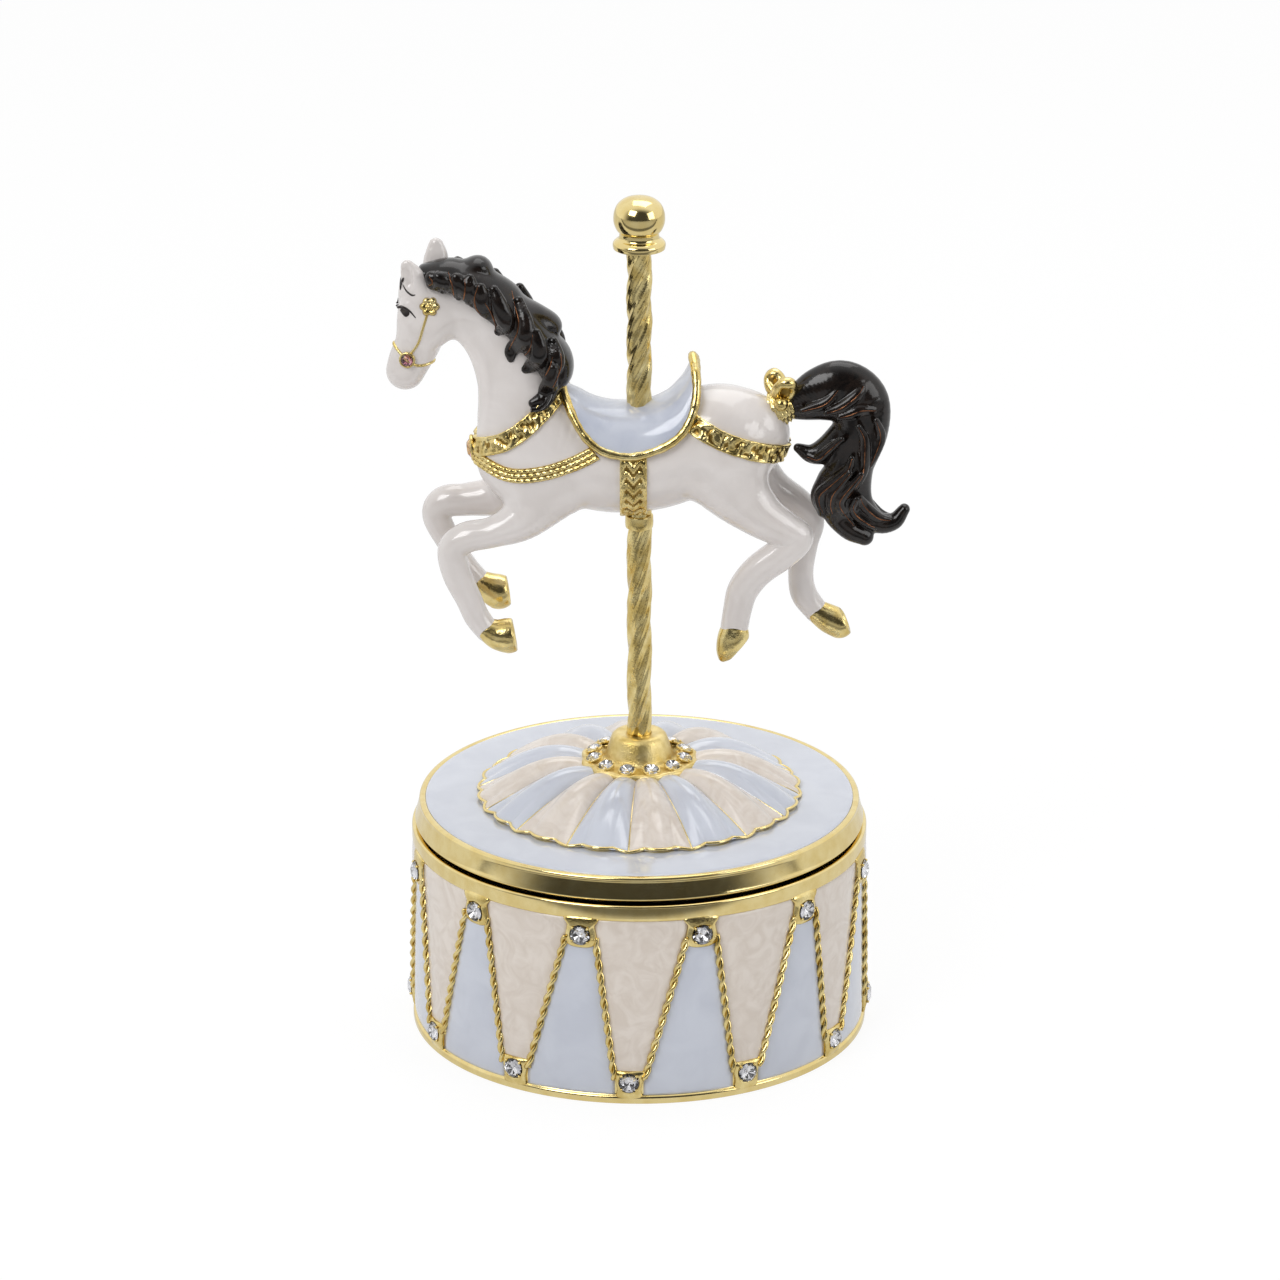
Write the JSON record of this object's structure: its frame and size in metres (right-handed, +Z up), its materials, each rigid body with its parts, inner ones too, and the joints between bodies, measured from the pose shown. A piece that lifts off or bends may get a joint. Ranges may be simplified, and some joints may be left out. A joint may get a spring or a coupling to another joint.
{
  "type": "carousel music box",
  "caption": "Enamelled carousel horse on a pole above a round music box; the lid with the horse turns on a wind-up movement wound by a key under the base.",
  "frame": {"origin": "centre of the drum's bottom rim, on the table", "axes": "+Z up along the pole; the horse looks along -X; -Y faces the camera of the picture"},
  "size_m": [0.0898, 0.0824, 0.15],
  "materials": {
    "gold": "polished gold plate",
    "drum_enamel": "glossy fired enamel, cream and pale blue, between gold rims",
    "lid_enamel": "glossy pale blue fired enamel with a gold band",
    "cream_enamel": "glossy pearly cream enamel",
    "blue_enamel": "glossy pale blue enamel",
    "white_enamel": "glossy white enamel",
    "black_enamel": "glossy brown-black enamel",
    "saddle_enamel": "glossy pale blue enamel",
    "crystal": "cut clear stone",
    "pink_crystal": "cut pink stone",
    "base_metal": "satin gold lacquer",
    "case_plastic": "moulded black",
    "steel": "ground",
    "hub_metal": "turned"
  },
  "bodies": {
    "base": {"drum_shell": "drum_enamel", "zigzag_wire": "gold", "upper_crystals": "crystal", "lower_crystals": "crystal", "base_plate": "base_metal", "movement_case": "case_plastic"},
    "key": {"winding_arbor": "steel", "winding_key": "gold"},
    "turntable": {"drive_spindle": "steel", "turntable_hub": "hub_metal", "lid": "lid_enamel", "rosette_rim": "gold", "cream_petals": "cream_enamel", "blue_petals": "blue_enamel", "pole_collar": "gold", "collar_crystals": "crystal", "lower_pole": "gold", "upper_pole": "gold", "finial": "gold", "horse_body": "white_enamel", "hooves": "gold", "mane": "black_enamel", "tail": "black_enamel", "tail_bow": "gold", "saddle": "saddle_enamel", "saddle_piping": "gold", "breast_collar": "gold", "breast_strap": "gold", "girth_strap": "gold", "breeching_strap": "gold", "bridle": "gold", "pink_crystals": "pink_crystal"}
  },
  "joints": [
    {"name": "turntable_spin", "type": "hinge", "parent": "base", "child": "turntable", "pos_m": [0, 0, 0.0372], "axis": [0, 0, 1], "continuous": true},
    {"name": "key_wind", "type": "hinge", "parent": "base", "child": "key", "pos_m": [0, 0, 0.012], "axis": [0, 0, 1], "continuous": true}
  ]
}
